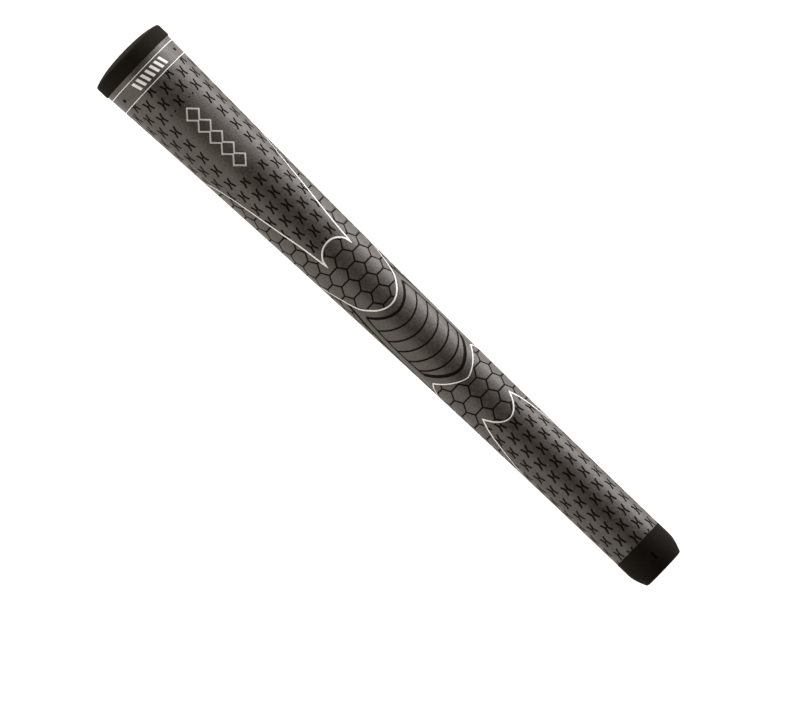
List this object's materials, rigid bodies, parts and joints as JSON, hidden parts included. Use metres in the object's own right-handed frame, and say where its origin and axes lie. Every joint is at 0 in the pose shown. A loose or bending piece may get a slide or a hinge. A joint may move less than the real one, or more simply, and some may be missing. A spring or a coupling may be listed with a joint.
{
  "type": "golf grip",
  "caption": "Tapered round grip that slides over a golf club's shaft: patterned soft wrap on a felt-backed core sleeve, closed by a domed butt cap and an open mouth cap.",
  "frame": {"origin": "on the axis of the shaft bore, midway between the crown of the butt cap and the mouth", "axes": "+X along the grip from the closed butt end to the open mouth, +Z out of the patterned face, with the seam of the wrap at -Z"},
  "size_m": [0.268, 0.0318, 0.0318],
  "materials": {
    "core_foam": "dull closed-cell foam",
    "backing_felt": "non-woven felt",
    "wrap_polymer": "satin, finely grained, embossed",
    "seam_polymer": "buffed satin",
    "cap_rubber": "matt moulded rubber"
  },
  "bodies": {
    "root": {"core_sleeve": "core_foam", "felt_backing": "backing_felt", "polymer_wrap": "wrap_polymer", "seam_bead": "seam_polymer", "butt_cap": "cap_rubber", "mouth_cap": "cap_rubber"}
  },
  "joints": []
}
